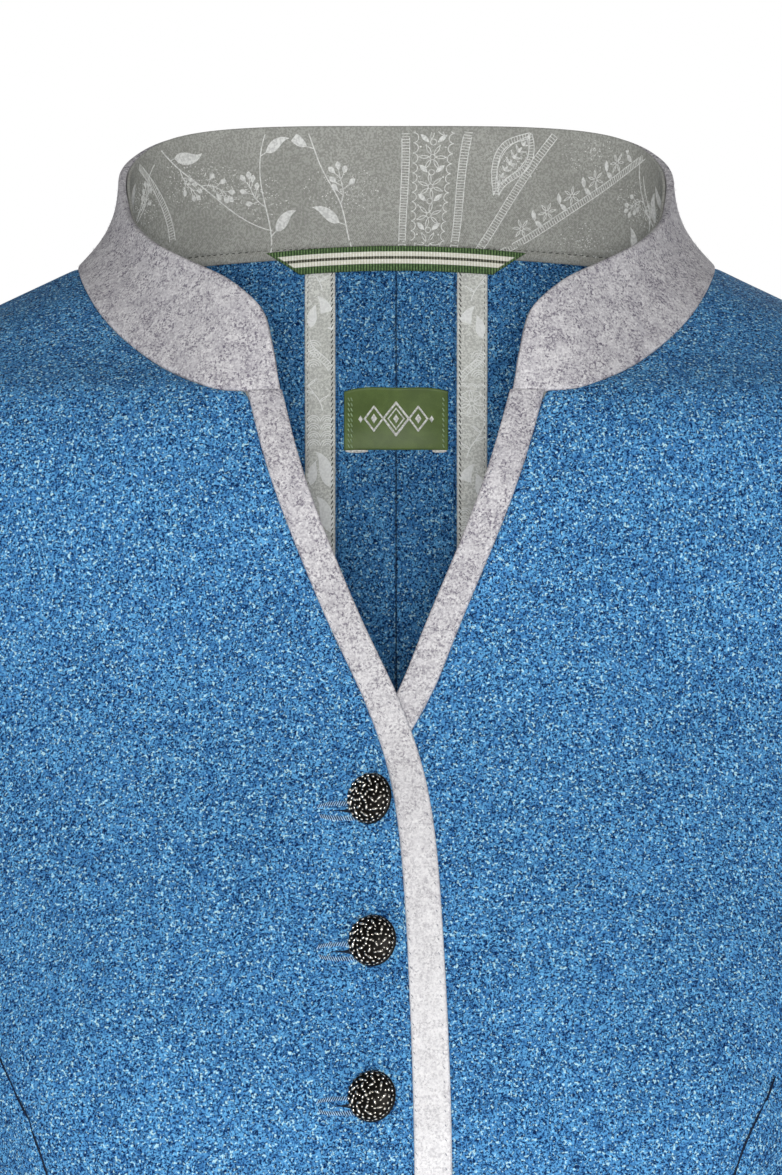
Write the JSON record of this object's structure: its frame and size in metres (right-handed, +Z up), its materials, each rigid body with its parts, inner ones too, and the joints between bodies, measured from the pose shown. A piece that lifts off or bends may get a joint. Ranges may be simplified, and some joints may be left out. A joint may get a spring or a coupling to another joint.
{
  "type": "boiled wool jacket with a felt stand collar",
  "caption": "Fitted boiled wool jacket with a felt stand collar, felt-banded V front and domed metal buttons, filled out hollow as it is worn.",
  "frame": {"origin": "midway between the two points where a shoulder seam meets the neck, where the wearer's shoulders hold the jacket up", "axes": "+Z up, the front faces -Y, +X is the wearer's left"},
  "size_m": [0.6916, 0.2672, 0.6646],
  "materials": {
    "blue_wool": "blue melange boiled wool, felted and matt",
    "grey_felt": "light grey marled wool felt, matt",
    "printed_cotton": "sage grey cotton with a pale line print",
    "striped_tape": "woven tape with green and cream stripes",
    "green_satin": "green woven satin with a plain lozenge motif",
    "old_silver": "antiqued silver with dark recesses"
  },
  "bodies": {
    "root": {"front_right": "blue_wool", "front_left": "blue_wool", "side_front_right": "blue_wool", "side_front_left": "blue_wool", "side_back_right": "blue_wool", "side_back_left": "blue_wool", "centre_back_right": "blue_wool", "centre_back_left": "blue_wool", "upper_sleeve_right": "blue_wool", "upper_sleeve_left": "blue_wool", "under_sleeve_right": "blue_wool", "under_sleeve_left": "blue_wool", "collar": "grey_felt", "edge_band_right": "grey_felt", "edge_band_left": "grey_felt", "collar_lining": "printed_cotton", "seam_binding_right": "printed_cotton", "seam_binding_left": "printed_cotton", "hanger_loop": "striped_tape", "label": "green_satin", "button_1": "old_silver", "button_2": "old_silver", "button_3": "old_silver", "button_4": "old_silver", "button_5": "old_silver", "button_6": "old_silver", "button_7": "old_silver", "button_8": "old_silver"}
  },
  "joints": []
}
